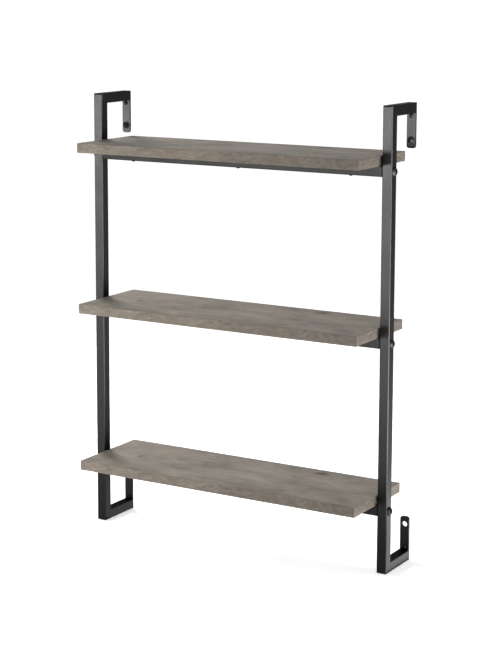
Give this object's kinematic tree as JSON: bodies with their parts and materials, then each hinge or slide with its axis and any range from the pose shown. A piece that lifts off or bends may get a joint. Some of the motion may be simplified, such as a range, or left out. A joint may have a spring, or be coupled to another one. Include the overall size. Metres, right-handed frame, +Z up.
{
  "type": "wall shelf",
  "caption": "Tiered wall shelf with wooden boards on crossbars between two square-tube steel side frames that reach back to wall plates.",
  "frame": {"origin": "on the wall plane, midway between the side frames, level with their lower ends", "axes": "+X to the right seen from the room, +Y into the wall, +Z up"},
  "size_m": [0.6656, 0.207, 0.875],
  "materials": {
    "black_steel": "satin black powder coat",
    "grey_wood": "grey-brown wood laminate, fine grain, matt",
    "grey_edge_band": "grey-brown edge band, matt",
    "black_fasteners": "black oxide, semi-gloss",
    "black_plastic": "moulded black plastic",
    "plug_steel": "black steel plug with a threaded bore"
  },
  "bodies": {
    "root": {"left_upright": "black_steel", "left_top_arm": "black_steel", "left_top_wall_plate": "black_steel", "left_bottom_arm": "black_steel", "left_bottom_wall_plate": "black_steel", "right_upright": "black_steel", "right_top_arm": "black_steel", "right_top_wall_plate": "black_steel", "right_bottom_arm": "black_steel", "right_bottom_wall_plate": "black_steel", "bottom_crossbar": "black_steel", "bottom_shelf_board": "grey_wood", "bottom_shelf_front_band": "grey_edge_band", "bottom_shelf_back_band": "grey_edge_band", "bottom_shelf_left_band": "grey_edge_band", "bottom_shelf_right_band": "grey_edge_band", "left_bottom_crossbar_plug": "plug_steel", "right_bottom_crossbar_plug": "plug_steel", "middle_crossbar": "black_steel", "middle_shelf_board": "grey_wood", "middle_shelf_front_band": "grey_edge_band", "middle_shelf_back_band": "grey_edge_band", "middle_shelf_left_band": "grey_edge_band", "middle_shelf_right_band": "grey_edge_band", "left_middle_crossbar_plug": "plug_steel", "right_middle_crossbar_plug": "plug_steel", "top_crossbar": "black_steel", "top_shelf_board": "grey_wood", "top_shelf_front_band": "grey_edge_band", "top_shelf_back_band": "grey_edge_band", "top_shelf_left_band": "grey_edge_band", "top_shelf_right_band": "grey_edge_band", "left_top_crossbar_plug": "plug_steel", "right_top_crossbar_plug": "plug_steel", "frame_bolts": "black_fasteners", "shelf_screws": "black_fasteners", "wall_screws": "black_fasteners", "wall_screw_bushes": "black_plastic", "small_wall_screws": "black_fasteners"}
  },
  "joints": []
}
